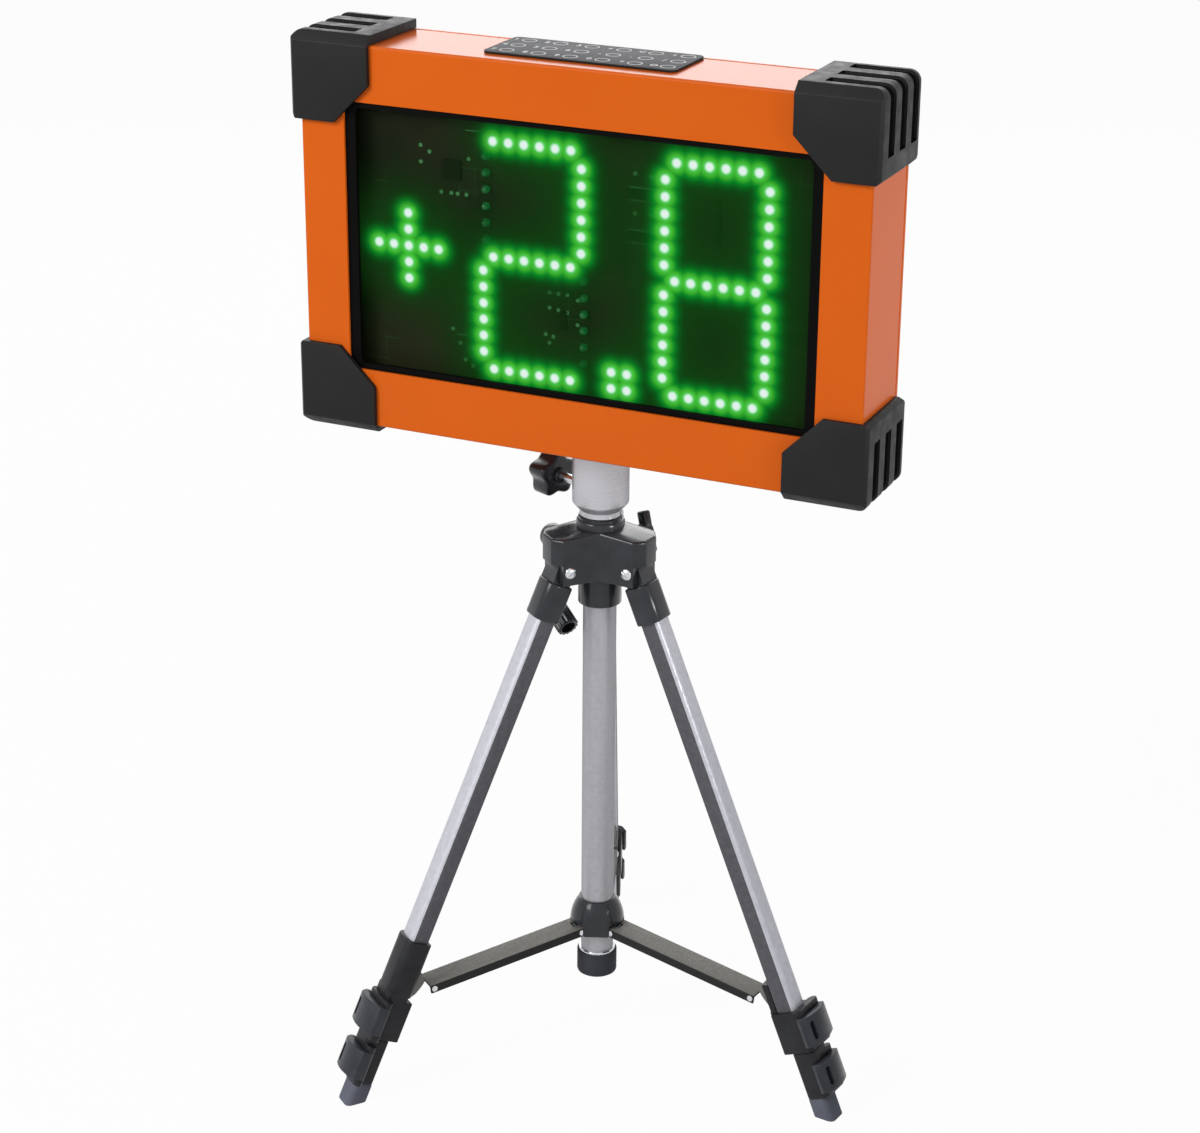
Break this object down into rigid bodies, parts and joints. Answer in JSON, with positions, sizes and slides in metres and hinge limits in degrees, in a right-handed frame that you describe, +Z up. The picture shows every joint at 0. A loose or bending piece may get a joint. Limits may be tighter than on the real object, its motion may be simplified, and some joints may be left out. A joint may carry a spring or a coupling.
{
  "type": "electronic scoreboard on a tripod",
  "caption": "Portable electronic scoreboard: a corner-capped light display on a folding tripod with telescoping legs, spreader, crank and column lock.",
  "frame": {"origin": "on the floor, under the middle of the object's bounding box; the column's axis is 14.6 mm in front of it", "axes": "+Z up along the column; the display faces -Y; +X is to the right of someone who reads the display"},
  "size_m": [0.442, 0.381, 0.787],
  "materials": {
    "orange_coat": "glossy orange powder coat on folded sheet",
    "black_plastic": "matte black moulded plastic",
    "black_gloss": "semi-gloss black moulded plastic",
    "tinted_pane": "dark tinted clear acrylic",
    "circuit_board": "dark green solder mask",
    "led_green": "clear green lamp domes on a thin carrier",
    "battery_wrap": "shrink wrap",
    "keypad_film": "printed membrane",
    "aluminium": "satin anodised",
    "bright_steel": "plated",
    "dark_steel": "dark grey coating",
    "grey_rubber": "matte"
  },
  "bodies": {
    "crown": {"canopy": "black_gloss", "column_bushing": "black_gloss", "guide_tube": "aluminium", "end_cap": "grey_rubber", "pivot_bolt_left": "bright_steel", "pivot_bolt_right": "bright_steel", "pivot_bolt_rear": "bright_steel"},
    "column": {"centre_column": "aluminium"},
    "head": {"housing": "orange_coat", "rear_cover": "orange_coat", "window_frame": "black_plastic", "window_pane": "tinted_pane", "display_board": "circuit_board", "left_digit_leds": "led_green", "right_digit_leds": "led_green", "sign_leds": "led_green", "point_leds": "led_green", "controller_board": "circuit_board", "battery_pack": "battery_wrap", "cap_top_left": "black_plastic", "cap_top_right": "black_plastic", "cap_bottom_left": "black_plastic", "cap_bottom_right": "black_plastic", "keypad": "keypad_film", "mount_sleeve": "aluminium"},
    "clamp": {"clamp_knob": "black_gloss"},
    "lock_wing": {"column_lock_wing": "black_gloss"},
    "crank": {"crank_arm": "black_gloss"},
    "grip": {"crank_grip": "black_gloss"},
    "hub": {"spreader_hub": "black_plastic"},
    "arm_left": {"spreader_arm_left": "dark_steel"},
    "arm_right": {"spreader_arm_right": "dark_steel"},
    "arm_rear": {"spreader_arm_rear": "dark_steel"},
    "leg_left": {"leg_top_left": "black_gloss", "upper_tube_left": "aluminium", "leg_lock_left": "black_plastic"},
    "lever_left": {"lock_lever_left": "black_gloss"},
    "middle_left": {"middle_tube_left": "aluminium", "lower_lock_left": "black_plastic"},
    "low_lever_left": {"lower_lever_left": "black_gloss"},
    "lower_left": {"lower_tube_left": "aluminium", "foot_left": "grey_rubber"},
    "leg_right": {"leg_top_right": "black_gloss", "upper_tube_right": "aluminium", "leg_lock_right": "black_plastic"},
    "lever_right": {"lock_lever_right": "black_gloss"},
    "middle_right": {"middle_tube_right": "aluminium", "lower_lock_right": "black_plastic"},
    "low_lever_right": {"lower_lever_right": "black_gloss"},
    "lower_right": {"lower_tube_right": "aluminium", "foot_right": "grey_rubber"},
    "leg_rear": {"leg_top_rear": "black_gloss", "upper_tube_rear": "aluminium", "leg_lock_rear": "black_plastic"},
    "lever_rear": {"lock_lever_rear": "black_gloss"},
    "middle_rear": {"middle_tube_rear": "aluminium", "lower_lock_rear": "black_plastic"},
    "low_lever_rear": {"lower_lever_rear": "black_gloss"},
    "lower_rear": {"lower_tube_rear": "aluminium", "foot_rear": "grey_rubber"}
  },
  "joints": [
    {"name": "column_lift", "type": "slide", "parent": "crown", "child": "column", "axis": [0, 0, 1], "range_m": [0, 0.2]},
    {"name": "head_swivel", "type": "hinge", "parent": "column", "child": "head", "pos_m": [0, -0.0146, 0.48], "axis": [0, 0, 1], "continuous": true},
    {"name": "clamp_turn", "type": "hinge", "parent": "head", "child": "clamp", "pos_m": [0, -0.0146, 0.46], "axis": [-0.9239, 0.3827, 0], "range_deg": [0, 540]},
    {"name": "lock_turn", "type": "hinge", "parent": "crown", "child": "lock_wing", "pos_m": [0, -0.0146, 0.421], "axis": [0.6157, 0.788, 0], "range_deg": [0, 180]},
    {"name": "crank_turn", "type": "hinge", "parent": "crown", "child": "crank", "pos_m": [-0.03634, -0.01333, 0.416], "axis": [-0.8339, 0.5519, 0], "range_deg": [-15, 150]},
    {"name": "grip_fold", "type": "hinge", "parent": "crank", "child": "grip", "pos_m": [-0.04979, 0.00276, 0.359], "axis": [0.5519, 0.8339, 0], "range_deg": [0, 153]},
    {"name": "leg_fold_left", "type": "hinge", "parent": "crown", "child": "leg_left", "pos_m": [-0.0197, -0.03982, 0.406], "axis": [0.788, -0.6157, 0], "range_deg": [0, 18]},
    {"name": "leg_fold_right", "type": "hinge", "parent": "crown", "child": "leg_right", "pos_m": [0.03169, -0.01905, 0.406], "axis": [0.1392, 0.9903, 0], "range_deg": [0, 18]},
    {"name": "leg_fold_rear", "type": "hinge", "parent": "crown", "child": "leg_rear", "pos_m": [-0.01199, 0.01507, 0.406], "axis": [-0.9272, -0.3746, 0], "range_deg": [0, 18]},
    {"name": "hub_slide", "type": "slide", "parent": "crown", "child": "hub", "axis": [0, 0, 1], "range_m": [0, 0.0894]},
    {"name": "arm_swing_left", "type": "hinge", "parent": "hub", "child": "arm_left", "pos_m": [-0.0112, -0.02894, 0.101], "axis": [0.788, -0.6157, 0], "range_deg": [0, 73.23]},
    {"name": "arm_swing_right", "type": "hinge", "parent": "hub", "child": "arm_right", "pos_m": [0.01802, -0.01713, 0.101], "axis": [0.1392, 0.9903, 0], "range_deg": [0, 73.23]},
    {"name": "arm_swing_rear", "type": "hinge", "parent": "hub", "child": "arm_rear", "pos_m": [-0.00682, 0.00228, 0.101], "axis": [-0.9272, -0.3746, 0], "range_deg": [0, 73.23]},
    {"name": "middle_slide_left", "type": "slide", "parent": "leg_left", "child": "middle_left", "axis": [-0.247, -0.3161, -0.916], "range_m": [0, 0.3]},
    {"name": "lower_slide_left", "type": "slide", "parent": "middle_left", "child": "lower_left", "axis": [-0.247, -0.3161, -0.916], "range_m": [0, 0.3]},
    {"name": "middle_slide_right", "type": "slide", "parent": "leg_right", "child": "middle_right", "axis": [0.3972, -0.0558, -0.916], "range_m": [0, 0.3]},
    {"name": "lower_slide_right", "type": "slide", "parent": "middle_right", "child": "lower_right", "axis": [0.3972, -0.0558, -0.916], "range_m": [0, 0.3]},
    {"name": "middle_slide_rear", "type": "slide", "parent": "leg_rear", "child": "middle_rear", "axis": [-0.1503, 0.3719, -0.916], "range_m": [0, 0.3]},
    {"name": "lower_slide_rear", "type": "slide", "parent": "middle_rear", "child": "lower_rear", "axis": [-0.1503, 0.3719, -0.916], "range_m": [0, 0.3]},
    {"name": "upper_lever_left", "type": "hinge", "parent": "leg_left", "child": "lever_left", "pos_m": [-0.10518, -0.17294, 0.07096], "axis": [0.247, 0.3161, 0.916], "range_deg": [0, 110]},
    {"name": "lower_lever_left", "type": "hinge", "parent": "middle_left", "child": "low_lever_left", "pos_m": [-0.1149, -0.18295, 0.03555], "axis": [0.247, 0.3161, 0.916], "range_deg": [0, 110]},
    {"name": "upper_lever_right", "type": "hinge", "parent": "leg_right", "child": "lever_right", "pos_m": [0.18972, -0.02652, 0.07096], "axis": [-0.3972, 0.0558, 0.916], "range_deg": [0, 110]},
    {"name": "lower_lever_right", "type": "hinge", "parent": "middle_right", "child": "low_lever_right", "pos_m": [0.20325, -0.02993, 0.03555], "axis": [-0.3972, 0.0558, 0.916], "range_deg": [0, 110]},
    {"name": "upper_lever_rear", "type": "hinge", "parent": "leg_rear", "child": "lever_rear", "pos_m": [-0.08454, 0.15566, 0.07096], "axis": [0.1503, -0.3719, 0.916], "range_deg": [0, 110]},
    {"name": "lower_lever_rear", "type": "hinge", "parent": "middle_rear", "child": "low_lever_rear", "pos_m": [-0.08834, 0.16909, 0.03555], "axis": [0.1503, -0.3719, 0.916], "range_deg": [0, 110]}
  ],
  "couplings": [
    {"joint": "leg_fold_right", "follows": "leg_fold_left", "ratio": 1},
    {"joint": "leg_fold_rear", "follows": "leg_fold_left", "ratio": 1},
    {"joint": "hub_slide", "follows": "leg_fold_left", "m_per_rad": 0.28454},
    {"joint": "arm_swing_left", "follows": "leg_fold_left", "ratio": 4.0678},
    {"joint": "arm_swing_right", "follows": "leg_fold_left", "ratio": 4.0678},
    {"joint": "arm_swing_rear", "follows": "leg_fold_left", "ratio": 4.0678}
  ]
}
